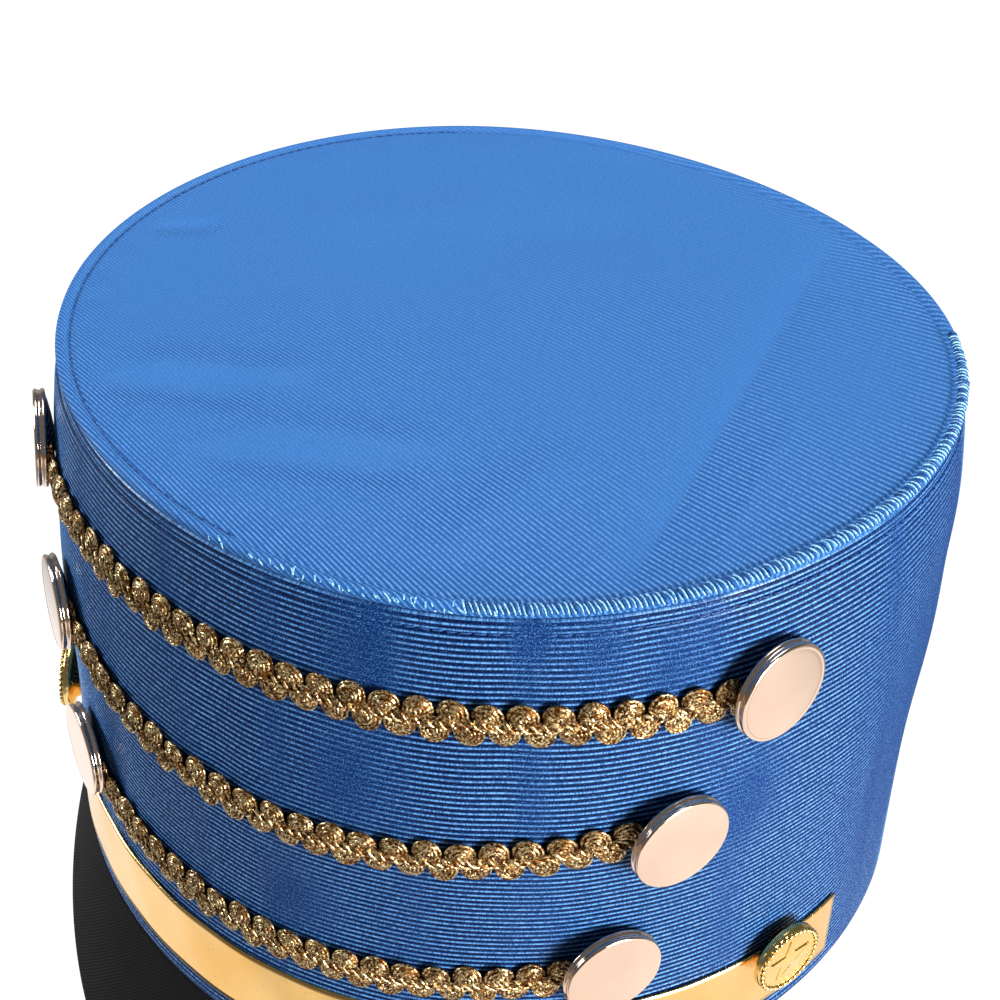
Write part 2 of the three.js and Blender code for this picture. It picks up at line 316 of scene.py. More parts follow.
def new_group(name, inputs, outputs):
    """The wiring of a shader node group with named sockets, what it is given and what it makes."""
    tree = bpy.data.node_groups.new(name, "ShaderNodeTree")
    add_sockets(tree, "INPUT", inputs)
    add_sockets(tree, "OUTPUT", outputs)
    given = tree.nodes.new("NodeGroupInput").outputs
    return Wiring(tree), given, tree.nodes.new("NodeGroupOutput").inputs


# Faille cloth for the wall and the top: satin ribs with a dotted yarn grain, whose bright ridges are a
# painted highlight and whose dark valleys are painted shade. They fade to a weave with painted glints where
# the ribs are weak
faille, given, made = new_group(
    "faille cloth",
    (
        ("Cloth", "Vector"),
        ("Rib Pitch", "Float"),
        ("Yarn Pitch", "Float"),
        ("Rib Strength", "Float"),
        ("Ridge Highlight Color", "Color"),
        ("Weave Color", "Color"),
        ("Valley Shade Color", "Color"),
    ),
    (("Color", "Color"), ("Roughness", "Float"), ("Gloss", "Float"), ("Height", "Float")),
)
parts = faille.node("SeparateXYZ", ((0, given["Cloth"]),)).outputs
rib_count = faille.math("DIVIDE", parts[1], given["Rib Pitch"])
yarn_count = faille.math("DIVIDE", parts[0], given["Yarn Pitch"])
wave = faille.math("COSINE", faille.math("MULTIPLY", rib_count, 2 * math.pi))
ridge = faille.spread(wave, 0.25, 0.98)
rib_number = faille.math("ROUND", rib_count)
strand_row = faille.math("MULTIPLY", rib_number, 7.3)
strand = faille.noise(faille.node("CombineXYZ", ((0, yarn_count), (1, strand_row))).outputs[0], 1.0, 1.0)
dots = faille.spread(strand, 0.4, 0.62, 0.3, 1.2)
weave_row = faille.math("MULTIPLY", rib_count, 3.1)
grain = faille.noise(faille.node("CombineXYZ", ((0, yarn_count), (1, weave_row))).outputs[0], 1.3, 1.0)
sparkle = faille.spread(grain, 0.56, 0.74)
strength = given["Rib Strength"]
# Painted highlight: the ridges' crests, dotted by the yarn, take the bright ridge colour
lit_ridge = faille.math("MULTIPLY", faille.math("MULTIPLY", ridge, dots), strength, clamp=True)
# Painted shade: the valleys between the ribs darken towards the valley colour as the ribs grow stronger
ground = faille.mix(
    faille.math("MULTIPLY", strength, faille.spread(wave, 0.3, -0.6), clamp=True),
    given["Weave Color"],
    given["Valley Shade Color"],
)
# Painted glints: random specks of the bright ridge colour in the weave, most where the ribs are weak
glinting_weave = faille.mix(
    faille.math("MULTIPLY", sparkle, faille.spread(strength, 0.0, 1.0, 0.75, 0.2)),
    ground,
    given["Ridge Highlight Color"],
)
faille.feed(faille.mix(lit_ridge, glinting_weave, given["Ridge Highlight Color"]), made["Color"])
faille.feed(faille.spread(lit_ridge, 0.0, 1.0, 0.6, 0.45), made["Roughness"])
glint = faille.math("MULTIPLY", sparkle, 0.6)
faille.feed(faille.math("MAXIMUM", lit_ridge, glint), made["Gloss"])
relief = faille.math("MULTIPLY", faille.spread(wave, -1.0, 1.0), strength)
yarn_relief = faille.math("MULTIPLY", grain, 0.7)
faille.feed(faille.math("ADD", relief, yarn_relief), made["Height"])


def cloth_material(name, rib, yarn, colors, relief_mm, gloss):
    """A cloth of the shared faille, which reads the piece's own map and the strength of its ribs."""
    material, surface, wiring = new_material(name)
    cloth = wiring.node("Group", node_tree=faille.tree)
    wiring.feed(wiring.node("UVMap", uv_map="cloth").outputs[0], cloth.inputs["Cloth"])
    cloth.inputs["Rib Pitch"].default_value = rib
    cloth.inputs["Yarn Pitch"].default_value = yarn
    strength = wiring.node("Attribute", attribute_name="rib_strength").outputs["Fac"]
    wiring.feed(strength, cloth.inputs["Rib Strength"])
    for socket, color in zip(("Ridge Highlight Color", "Weave Color", "Valley Shade Color"), colors):
        cloth.inputs[socket].default_value = (*color, 1)
    wiring.roughen(surface, cloth.outputs["Height"], relief_mm)
    wiring.feed(cloth.outputs["Color"], surface["Base Color"])
    wiring.feed(cloth.outputs["Roughness"], surface["Roughness"])
    wiring.feed(wiring.math("MULTIPLY", cloth.outputs["Gloss"], gloss), surface["Coat Weight"])
    surface["Coat Roughness"].default_value = 0.32
    surface["Coat IOR"].default_value = 1.6
    surface["Specular IOR Level"].default_value = 0.2
    surface["Specular Tint"].default_value = (0.2, 0.5, 1.0, 1)
    return material


# Ridge, weave and valley colours: the ridge colour is a painted highlight and the valley colour painted
# shade, over the weave's own navy
SIDE_COLORS = ((0.14, 0.39, 0.82), (0.003, 0.025, 0.125), (0.0005, 0.0035, 0.034))
side_cloth = cloth_material("side faille", WALL_RIB, 0.36, SIDE_COLORS, 0.16, 1.0)
crown_side.data.materials.append(side_cloth)
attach(crown_side, "root")
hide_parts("crown_side")


# Crown top
# A flat oval of the same cloth over board, its fine ribs running from left to right. The edge is
# rolled over a seam, which stands up as a bead, and packing has pressed a long crease into it.
SEAM_BEAD = 1.1
SEAM_RISE = 0.4
TOP_COLUMNS = 420
TOP_RINGS = 88
FLAT_INSET = 4.2
TOP_RIB = 1.02
TOP_RIB_TURN = 0.28
TOP_RIB_BEND = 0.0006
TOP_RIB_FAN = 0.003
# Inset from the rim and depth below the top, from the flat out over the rolled edge
TOP_EDGE = (
    (3.6, 0.0), (3.2, 0.28), (2.9, 0.3), (2.5, 0.05), (2.0, -0.22), (1.5, -0.36), (1.1, -SEAM_RISE),
    (0.65, -0.26), (0.25, 0.08), (0.05, 0.55), (0.0, SEAM_BEAD), (0.25, 1.6), (0.9, TOP_THICKNESS),
)
# Folds pressed into the top: its two ends, half width on either side, height, and 1 for a sharp line
FOLDS = (
    ((50.0, 74.0), (57.0, -70.0), 5.0, 13.0, -1.5, 1),
    ((64.5, 6.0), (68.0, -60.0), 3.0, 4.0, 0.3, 1),
    ((-66.0, -50.0), (-30.0, -38.0), 4.0, 4.0, -0.9, 2),
    ((-64.0, -40.0), (-24.0, -27.0), 4.0, 5.0, 0.7, 2),
    ((-34.0, -60.0), (10.0, -46.0), 4.0, 4.0, -0.7, 2),
    ((-34.0, -49.0), (12.0, -36.0), 4.0, 5.0, 0.55, 2),
    ((-88.0, 3.0), (-72.0, 13.0), 2.2, 2.2, -0.7, 2),
    ((-20.0, 30.0), (14.0, 52.0), 8.0, 8.0, -0.4, 2),
    ((-60.0, 20.0), (-20.0, 46.0), 8.0, 8.0, 0.4, 2),
    ((20.0, -70.0), (32.0, -24.0), 6.0, 6.0, 0.35, 2),
)
# Inset where the folds begin, and over how far they grow
FOLD_INSET = (3.6, 7.0)
PUCKERS = 38
PUCKER_RISE = 0.14
PUCKER_INSET = (6.0, 4.0)


def distance_along(points):
    """How far each point of a path lies from its start, along the path."""
    steps = np.linalg.norm(np.diff(points, axis=0), axis=1)
    return np.concatenate([[0], np.cumsum(steps)])


def domed_faces(rows, columns):
    """The faces of a grid, with fans to two more points amid its first row and its last."""
    faces = grid_faces(rows, columns)
    middle = rows * columns
    last = middle - columns
    for column in range(columns):
        beside = (column + 1) % columns
        faces.append((middle, beside, column))
        faces.append((middle + 1, last + column, last + beside))
    return faces


def fold_height(x, y):
    """Height of the pressed folds, each fading out at its two ends."""
    total = 0.3 * np.sin(x / 23.0 + 0.7) * np.cos(y / 19.0) + 0.12 * np.sin(x / 9.0 + y / 13.0)
    for start, end, near, beyond, rise, power in FOLDS:
        run = np.subtract(end, start)
        length = np.hypot(*run)
        along = ((x - start[0]) * run[0] + (y - start[1]) * run[1]) / length
        across = ((y - start[1]) * run[0] - (x - start[0]) * run[1]) / length
        fade = np.clip(along / (0.2 * length), 0, 1) * np.clip((length - along) / (0.2 * length), 0, 1)
        half_width = np.where(across > 0, beyond, near)
        total = total + rise * np.exp(-(np.abs(across / half_width) ** power)) * fade
    return total


top_turns = np.linspace(-math.pi, math.pi, TOP_COLUMNS, endpoint=False)
rim = crown_face(top_turns, CROWN_HEIGHT)
top_middle = np.array([TOP_SHIFT[0], TOP_SHIFT[1], CROWN_HEIGHT + TOP_LEAN * TOP_SHIFT[0]])
rim_reach = np.linalg.norm((rim - top_middle)[:, :2], axis=1)
flat_share = 1 - FLAT_INSET / rim_reach
pucker_side = np.clip(np.cos(top_turns + math.radians(75.0)), 0, 1) ** 0.5
puckers = PUCKER_RISE * np.sin(PUCKERS * top_turns + 1.3 * np.sin(5 * top_turns)) * pucker_side


def top_ring(share, drop, lifted=False):
    ring = top_middle + (rim - top_middle) * np.broadcast_to(share, rim_reach.shape)[:, None]
    if lifted:
        inset = rim_reach * (1 - share)
        ring[:, 2] += fold_height(*ring.T[:2]) * np.clip((inset - FOLD_INSET[0]) / FOLD_INSET[1], 0, 1)
        ring[:, 2] += puckers * bell(inset, *PUCKER_INSET)
    ring[:, 2] -= drop
    return ring


rings = [top_ring(flat_share * part, 0.0, lifted=True) for part in np.linspace(0, 1, TOP_RINGS)[1:]]
rings += [top_ring(1 - inset / rim_reach, drop) for inset, drop in TOP_EDGE]
rings += [top_ring(flat_share * part, TOP_THICKNESS) for part in (0.9, 0.5, 0.04)]
top_points = np.concatenate(rings + [rings[0].mean(axis=0)[None], rings[-1].mean(axis=0)[None]])
top_faces = [f[::-1] for f in domed_faces(len(rings), TOP_COLUMNS)]
# The cloth's own map goes on over the rolled edge, by the distance the cloth travels
cloth_at = top_points[:, :2].copy()
edge_start = (TOP_RINGS - 1) * TOP_COLUMNS
edge_travel = FLAT_INSET - TOP_EDGE[0][0] + distance_along(TOP_EDGE)
edge_at = rings[TOP_RINGS - 2][:, :2] + unit((rim - top_middle)[:, :2]) * edge_travel[:, None, None]
cloth_at[edge_start : edge_start + len(TOP_EDGE) * TOP_COLUMNS] = edge_at.reshape(-1, 2)
cloth_x, cloth_y = cloth_at.T
rib_at = cloth_y * (1 - TOP_RIB_FAN * cloth_x) + TOP_RIB_TURN * cloth_x - TOP_RIB_BEND * cloth_x**2
crown_top = add_mesh("crown_top_cloth", stand(top_points), top_faces, uv=stacked(cloth_x, rib_at))


def top_strength(x, y):
    """Strength of the ribs and of their painted highlight and shade: raised on fold slopes that turn away
    from the key light at the right and lowered on those that face it, raised at the rim, lower towards the
    back and the left.
    """
    rise_right = fold_height(x + 0.5, y) - fold_height(x - 0.5, y)
    rise_back = fold_height(x, y + 0.5) - fold_height(x, y - 0.5)
    # Painted shade and light: rib contrast follows the folds' slope against the key light
    slope_shading = 3.0 * np.clip(0.8 * rise_right - 0.6 * rise_back, -0.12, 0.25)
    patches = 0.15 * np.sin(x / 15.0) * np.sin(y / 11.0)
    reach = np.hypot(x / TOP_HALF[0], (y - TOP_SHIFT[1]) / TOP_HALF[1])
    near_rim = 0.4 * np.clip((reach - 0.84) / 0.14, 0, 1)
    return np.clip(0.32 + 0.002 * x - 0.0055 * y + slope_shading + patches + near_rim, 0.1, 1.0)


name_values(crown_top, "rib_strength", top_strength(*top_points.T[:2]))
# Ridge, weave and valley colours of the top: a painted highlight, the cloth's own blue, and painted shade
TOP_COLORS = ((0.12, 0.32, 0.7), (0.036, 0.147, 0.415), (0.018, 0.09, 0.29))
crown_top.data.materials.append(cloth_material("top faille", TOP_RIB, 0.36, TOP_COLORS, 0.07, 0.25))
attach(crown_top, "root")
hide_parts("crown_top")


# Seam stitches
# The top is overlocked to the wall with a zigzag of thread over the bead, its pale mottling a painted
# highlight and darker strokes behind it painted shade. A row of dark lockstitch holds the fold of the wall
# just below it, and another the fold of the top inside it.
UPRIGHT = (0.0, 0.0, 1.0)


def capped_faces(rows, columns):
    """The faces of a grid, with one more over its first row and one over its last."""
    first = tuple(range(columns))[::-1]
    last = tuple(range((rows - 1) * columns, rows * columns))
    return grid_faces(rows, columns) + [first, last]


def tube(path, radius, sides):
    """Points and faces of a round cord along a path, closed at its two ends."""
    path = np.asarray(path, float)
    run = unit(np.gradient(path, axis=0))
    first = unit(np.cross(run, np.where(abs(run[:, 2:]) < 0.9, UPRIGHT, (1.0, 0.0, 0.0))))
    second = np.cross(run, first)
    radius = np.broadcast_to(radius, len(path))
    spokes = np.linspace(0, 2 * math.pi, sides, endpoint=False)
    turn = spokes[None, :, None]
    circle = np.cos(turn) * first[:, None] + np.sin(turn) * second[:, None]
    points = (path[:, None] + circle * radius[:, None, None]).reshape(-1, 3)
    return points, capped_faces(len(path), sides)


def new_repeat_tree():
    """Geometry nodes that set one small mesh on every seat, turned to its surface, a little unevenly."""
    tree = bpy.data.node_groups.new("set on seats", "GeometryNodeTree")
    tree.is_modifier = True
    inputs = (("Geometry", "Geometry"), ("Unit", "Object"), ("Size Spread", "Float"), ("Tilt", "Float"))
    add_sockets(tree, "INPUT", (*inputs, ("Seed", "Int"), ("Finish", "Material")))
    add_sockets(tree, "OUTPUT", (("Geometry", "Geometry"),))
    wiring = Wiring(tree)
    given = wiring.node("NodeGroupInput").outputs
    small = wiring.node("GeometryNodeObjectInfo", (("Object", given["Unit"]),)).outputs["Geometry"]
    directions = []
    for slot, label in enumerate(("outward", "along")):
        named = wiring.node("GeometryNodeInputNamedAttribute", (("Name", label),), data_type="FLOAT_VECTOR")
        directions.append((slot, named.outputs["Attribute"]))
    axes = wiring.node("FunctionNodeAxesToRotation", directions, primary_axis="Z", secondary_axis="X")
    least = (("Min", (-1, -1, -1)), ("Seed", given["Seed"]))
    shaken = wiring.node("FunctionNodeRandomValue", least, data_type="FLOAT_VECTOR").outputs["Value"]
    tilt = wiring.node("VectorMath", ((0, shaken), ("Scale", given["Tilt"])), operation="SCALE").outputs[0]
    tilt = wiring.node("FunctionNodeEulerToRotation", ((0, tilt),)).outputs[0]
    both = ((0, axes.outputs[0]), (1, tilt))
    turned = wiring.node("FunctionNodeRotateRotation", both, rotation_space="LOCAL").outputs[0]
    low = wiring.math("SUBTRACT", 1.0, given["Size Spread"])
    high = wiring.math("ADD", 1.0, given["Size Spread"])
    size = wiring.node("FunctionNodeRandomValue", ((2, low), (3, high), ("Seed", given["Seed"]))).outputs[1]
    seats = (("Points", given["Geometry"]), ("Instance", small), ("Rotation", turned), ("Scale", size))
    seated = wiring.node("GeometryNodeInstanceOnPoints", seats).outputs[0]
    real = wiring.node("GeometryNodeRealizeInstances", ((0, seated),)).outputs[0]
    finish = wiring.node("GeometryNodeSetMaterial", ((0, real), ("Material", given["Finish"]))).outputs[0]
    wiring.node("NodeGroupOutput", (("Geometry", finish),))
    return tree


repeat_tree = new_repeat_tree()


def repeat_on_seats(
    name, seats, along, outward, unit_mesh, finish, size_spread=0.0, tilt=0.0, seed=1
):
    """Small like pieces on seats in hat millimetres, made one mesh that rides on the hat."""
    carrier = add_mesh(name, stand(seats), [])
    for label, vectors in (("along", along), ("outward", outward)):
        attribute = carrier.data.attributes.new(label, "FLOAT_VECTOR", "POINT")
        attribute.data.foreach_set("vector", stand_directions(vectors).astype(np.float32).ravel())
    small = add_mesh(name + "_unit", unit_mesh[0] * MM, unit_mesh[1])
    modifier = carrier.modifiers.new("set on seats", "NODES")
    modifier.node_group = repeat_tree
    values = {"Unit": small, "Size Spread": size_spread, "Tilt": tilt, "Seed": seed, "Finish": finish}
    for item in repeat_tree.interface.items_tree:
        if item.name in values:
            modifier[item.identifier] = values[item.name]
    bpy.context.view_layer.update()
    evaluated = carrier.evaluated_get(bpy.context.evaluated_depsgraph_get())
    whole = bpy.data.meshes.new_from_object(evaluated)
    carrier.modifiers.remove(modifier)
    bpy.data.objects.remove(small)
    carrier.data = whole
    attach(carrier, "root")
    return carrier


def thread_material(name, colors, roughness, shine):
    """Twisted sewing thread, lighter where its twist turns to the light."""
    material, surface, wiring = new_material(name)
    place = wiring.node("TexCoord").outputs["Object"]
    mottled = wiring.noise(place, 2600.0)
    shade = wiring.mix(wiring.spread(mottled, 0.38, 0.62), (*colors[0], 1), (*colors[1], 1))
    wiring.feed(shade, surface["Base Color"])
    wiring.roughen(surface, mottled, 0.05)
    surface["Roughness"].default_value = roughness
    surface["Specular IOR Level"].default_value = shine
    return material


def even_turns(height, pitch, reach):
    """Angles at an even pitch in millimetres, between two in degrees from the front."""
    fine = np.linspace(-math.pi, math.pi, 2001)
    travelled = distance_along(crown_face(fine, height))
    count = int(travelled[-1] / pitch)
    angles = np.interp(np.arange(count) * travelled[-1] / count, travelled, fine)
    degrees = np.degrees(angles)
    return angles[(degrees > reach[0]) & (degrees < reach[1])]


OVERLOCK_PITCH = 1.05
OVERLOCK_REACH = (20, 118)
LOOSE_PITCH = 0.6
LOOSE_REACH = (-12, 24)
THREAD_ARC = 1.22
BEAD_INSET = 1.25
BEAD_DROP = 0.75
bead_arc = np.radians([-62, -38, -12, 14, 40, 66])
# The overlock thread's pale mottled colour is a painted highlight
thread_blue = thread_material("overlock thread", ((0.08, 0.3, 0.6), (0.42, 0.78, 0.95)), 0.35, 0.7)
SHADED = ((0.004, 0.03, 0.14), (0.02, 0.1, 0.3))
thread_shade = thread_material("shaded overlock thread", SHADED, 0.5, 0.2)


def edge_axes(turns):
    """Unit vectors along the top's edge and level out of it."""
    along = crown_axes(turns, CROWN_HEIGHT)[0]
    return along, unit(np.cross(along, UPRIGHT) * (1, 1, 0))


def overlock(name, shift, slant, turns, radius, thread, tilt, arc=bead_arc):
    """Strokes of thread over the seam's bead, each slanting a little along the edge."""
    along, level_out = edge_axes(turns)
    seats = crown_face(turns, CROWN_HEIGHT) - level_out * BEAD_INSET - (0.0, 0.0, BEAD_DROP)
    lean = shift + slant * np.linspace(-1, 1, len(arc))
    stroke = stacked(lean, -THREAD_ARC * np.sin(arc), THREAD_ARC * np.cos(arc))
    outward = unit(level_out * 0.35 + UPRIGHT)
    bit = tube(stroke, radius, 5)
    repeat_on_seats(name, seats, along, outward, bit, thread, 0.08, tilt, 3)


sewn_turns = even_turns(CROWN_HEIGHT, OVERLOCK_PITCH, OVERLOCK_REACH)
overlock("overlock_out", -0.3, 0.55, sewn_turns, 0.2, thread_blue, 0.2)
# Darker, thicker strokes behind the pale ones: painted shade in the gaps between them
overlock("overlock_back", 0.25, 0.4, sewn_turns, 0.26, thread_shade, 0.1)
# Towards the front the thread shows only in loose bits
loose = even_turns(CROWN_HEIGHT, LOOSE_PITCH, LOOSE_REACH)
loose = loose[np.random.default_rng(5).random(len(loose)) < 0.35 + np.degrees(loose) / 40]
overlock("overlock_loose", 0.0, 0.3, loose, 0.17, thread_blue, 0.8, bead_arc[3:])

LOCKSTITCH_PITCH = 2.5
LOCKSTITCH_WALL_REACH = (8, 150)
LOCKSTITCH_TOP_REACH = (-150, -8)
LOCKSTITCH_INSET = 3.05
LOCKSTITCH_DROP = 0.26
lock_path = [(-0.95, 0, -0.12), (-0.7, 0, 0.1), (0, 0, 0.17), (0.7, 0, 0.1), (0.95, 0, -0.12)]
thread_navy = thread_material("lockstitch thread", ((0.006, 0.03, 0.15), (0.04, 0.15, 0.45)), 0.5, 0.3)
lock_height = wall_top - SEAM_DROP
lock_turns = even_turns(lock_height, LOCKSTITCH_PITCH, LOCKSTITCH_WALL_REACH)
lock_along, lock_out = crown_axes(lock_turns, lock_height)
lock_inset = -SEAM_SINK - SHOULDER_INSET * ((SHOULDER - SEAM_DROP) / SHOULDER) ** 2 + 0.1
lock_seats = crown_point(lock_turns, lock_height, lock_inset + dent_depth(lock_turns, lock_height))
lock_unit = tube(lock_path, 0.17, 5)
repeat_on_seats(
    "lockstitch_wall", lock_seats, lock_along, lock_out, lock_unit, thread_navy, 0.08, 0.08, 5
)
fold_turns = even_turns(CROWN_HEIGHT, LOCKSTITCH_PITCH, LOCKSTITCH_TOP_REACH)
fold_along, fold_out = edge_axes(fold_turns)
fold_seats = crown_face(fold_turns, CROWN_HEIGHT) - fold_out * LOCKSTITCH_INSET
fold_seats[:, 2] -= LOCKSTITCH_DROP
fold_up = np.broadcast_to(UPRIGHT, fold_seats.shape)
repeat_on_seats(
    "lockstitch_top", fold_seats, fold_along, fold_up, lock_unit, thread_navy, 0.08, 0.08, 7
)


# Visor
# A curved peak of stiff board covered in black twill. Its tab is sewn inside the rim, and its edge
# is turned and pressed. The hat rests on the front of that edge.
VISOR_SLOPE = math.radians(70)
VISOR_END = math.radians(70)
VISOR_SEWN = math.radians(63)
VISOR_LEVEL = math.radians(25)
VISOR_THICKNESS = 2.2
VISOR_TAB = 8.0
VISOR_TUCK = WALL + GAP + 0.1
VISOR_LEAST = 0.04
VISOR_COLUMNS = 181
VISOR_MAP_RADIUS = 95.0
VISOR_EDGE_ROUND = 0.35
TWILL_PITCH = 0.9


def visor_section(angle):
    """The visor's cut at one angle: down its face, round its edge and back up the inside."""
    outward = np.array([math.sin(angle), -math.cos(angle), 0.0])
    down = outward * math.cos(VISOR_SLOPE) + (0, 0, -math.sin(VISOR_SLOPE))
    inward = -outward * math.sin(VISOR_SLOPE) + (0, 0, -math.cos(VISOR_SLOPE))
    rise = math.tan(REST_TILT)
    back_rim = crown_point(math.pi, 0.0)

    def to_floor(start):
        fall = math.sin(VISOR_SLOPE) - rise * math.cos(angle) * math.cos(VISOR_SLOPE)
        return (start[2] + rise * (back_rim[1] - start[1])) / fall

    past = max(0.0, (abs(angle) - VISOR_LEVEL) / (VISOR_END - VISOR_LEVEL))
    share = max(1 - past**1.5, VISOR_LEAST)
    top = crown_point(angle, -GAP, -0.2)
    under = top + inward * VISOR_THICKNESS
    face = top + down * to_floor(top) * share
    inner = under + down * to_floor(under) * share
    section = [crown_point(angle, VISOR_TAB, -VISOR_TUCK), crown_point(angle, 3.0, -VISOR_TUCK)]
    section += [crown_point(angle, -GAP, -VISOR_TUCK), crown_point(angle, -GAP, -0.8)]
    section += [top + (face - top) * part for part in (0.0, 0.02, *np.linspace(0.06, 0.96, 22))]
    edge = (face + inner) / 2
    across = (inner - face) / 2
    for turn in np.radians([-90, -60, -25, 25, 60, 90]):
        section.append(edge + across * math.sin(turn) + down * VISOR_EDGE_ROUND * (math.cos(turn) - 1))
    section += [inner + (under - inner) * part for part in np.linspace(0.05, 0.95, 8)]
    tuck = VISOR_TUCK + VISOR_THICKNESS
    section += [crown_point(angle, -GAP - VISOR_THICKNESS, -tuck), crown_point(angle, VISOR_TAB, -tuck)]
    return section


visor_angles = np.linspace(-VISOR_SEWN, VISOR_SEWN, VISOR_COLUMNS)
sections = np.array([visor_section(angle) for angle in visor_angles])
visor_rows = sections.shape[1]
visor_faces = [f[::-1] for f in capped_faces(VISOR_COLUMNS, visor_rows)]
travelled = np.concatenate([distance_along(section) for section in sections])
visor_uv = stacked(np.repeat(visor_angles * VISOR_MAP_RADIUS, visor_rows), travelled)
visor = add_mesh("visor_cloth", stand(sections.reshape(-1, 3)), visor_faces, uv=visor_uv)

black_twill, surface, wiring = new_material("black twill")
place = wiring.node("UVMap", uv_map="cloth").outputs[0]
axes = wiring.node("SeparateXYZ", ((0, place),)).outputs
slanted = wiring.math("ADD", axes[0], wiring.math("MULTIPLY", axes[1], 0.8))
lines = wiring.math("SINE", wiring.math("MULTIPLY", slanted, 2 * math.pi / TWILL_PITCH))
fuzz = wiring.noise(place, 3.0, 3.0)
soil = wiring.noise(place, 0.08, 3.0)
weave_height = wiring.math("ADD", wiring.spread(lines, -1, 1), fuzz)
shade = wiring.spread(wiring.math("ADD", weave_height, soil), 0.6, 2.0)
tone = wiring.mix(shade, (0.0014, 0.0012, 0.0013, 1), (0.012, 0.0092, 0.009, 1))
wiring.feed(tone, surface["Base Color"])
wiring.roughen(surface, weave_height, 0.08)
wiring.feed(wiring.spread(fuzz, 0.3, 0.7, 0.7, 0.9), surface["Roughness"])
surface["Specular IOR Level"].default_value = 0.1
visor.data.materials.append(black_twill)
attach(visor, "root")
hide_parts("visor")


# Gold band
# A strip of thin gold foil ribbon glued round the front above the hem. It is cut off square behind
# the side buttons, and its upper edge lifts a little where the glue has let go.
BAND_LOW = 5.6
BAND_HIGH = 23.4
BAND_END = math.radians(78)
BAND_FACE = 0.55
BAND_BACK = 0.1
BAND_COLUMNS = 260
BAND_UP = 14
# How far the upper edge climbs at one place, with its angle and half width in degrees
BAND_RISE = (0.9, 36.0, 20.0)
BAND_LIFT = 0.14


def band_lift(angle, height):
    """Small buckles of the foil, strongest at its upper edge."""
    upper = np.clip((height - 14.0) / 10.0, 0, 1) ** 2
    buckle = 0.5 + 0.5 * np.sin(9.0 * angle + 1.0) * np.sin(23.0 * angle)
    return BAND_LIFT * upper * buckle + 0.05 * np.sin(31.0 * angle + 0.2 * height)


band_angles = np.linspace(-BAND_END, BAND_END, BAND_COLUMNS)
outer_heights = np.linspace(BAND_LOW, BAND_HIGH, BAND_UP)
band_loop = [(h, BAND_FACE) for h in outer_heights] + [(h, BAND_BACK) for h in outer_heights[::-1]]
band_rows = []
band_rise = BAND_RISE[0] * bell(np.degrees(band_angles), *BAND_RISE[1:])
for height, out in band_loop:
    raised = height + band_rise * (height - BAND_LOW) / (BAND_HIGH - BAND_LOW)
    band_rows.append(crown_point(band_angles, raised, out + band_lift(band_angles, height)))
band_points = np.stack(band_rows, axis=1).reshape(-1, 3)
band_faces = [f[::-1] for f in capped_faces(BAND_COLUMNS, len(band_loop))]
gold_band = add_mesh("gold_band_foil", stand(band_points), band_faces)


def metal_material(name, color, roughness, scratch, tint):
    """Polished plating with fine scratches, rubbed a little paler in places."""
    material, surface, wiring = new_material(name)
    place = wiring.node("TexCoord").outputs["Object"]
    cloudy = wiring.noise(place, 45.0, 2.0)
    tone = wiring.mix(wiring.spread(cloudy, 0.35, 0.7), (*color, 1), (*tint, 1))
    wiring.feed(tone, surface["Base Color"])
    drawn_out = wiring.node("Mapping", ((0, place), (3, (900.0, 5200.0, 900.0)))).outputs[0]
    lines = wiring.noise(drawn_out, 1.0)
    scratches = wiring.spread(lines, 0.66, 0.8)
    rough = wiring.math("ADD", wiring.math("MULTIPLY", scratches, 0.18), roughness)
    rough = wiring.math("ADD", rough, wiring.math("MULTIPLY", cloudy, 0.06))
    wiring.feed(rough, surface["Roughness"])
    wiring.roughen(surface, wiring.math("ADD", scratches, cloudy), scratch)
    surface["Metallic"].default_value = 1.0
    return material


foil = metal_material("gold foil", (0.88, 0.5, 0.14), 0.16, 0.03, (0.97, 0.64, 0.27))
gold_band.data.materials.append(foil)
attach(gold_band, "root")
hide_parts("gold_band")


# Gold gimp braids
# Three lengths of furnishing gimp made of tinsel yarn. Two rows of scrolled shells, set half a step
# apart, are bound along the middle by twisted strands, and the ends go under the button discs.
BRAID_WIDTH = 9.8
BRAID_LOOP = 6.2
SHANK_RADIUS = 2.2
BRAID_SHORT = 2.0
# Name, height at the front, height at the ends, angle of its buttons, height of its buttons
BRAIDS = (
    ("braid_upper", 104.0, 103.5, 56.5, 105.5),
    ("braid_middle", 69.0, 75.0, 45.7, 75.0),
    ("braid_lower", 33.3, 37.0, 39.7, 40.3),
)
SHELL_REACH = 2.7
SHELL_DOME = 0.55
SHELL_SEAT = 0.75
YARN = 0.34
GROUND_EDGE = 1.6
GROUND_SCALLOP = 0.6
STRAND_STEP = 0.45
STRAND_SWAY = 1.15
STRAND_RADIUS = 0.46
STRANDS = (("a", 0.0), ("b", 2.1), ("c", 4.2))

tinsel, surface, wiring = new_material("gold tinsel yarn")
place = wiring.node("TexCoord").outputs["Object"]
flakes = wiring.node("TexVoronoi", (("Vector", place), ("Scale", 2900.0)), feature="F1")
flake_tone = wiring.node("SeparateXYZ", ((0, flakes.outputs["Color"]),)).outputs[0]
tarnish = wiring.noise(place, 420.0)
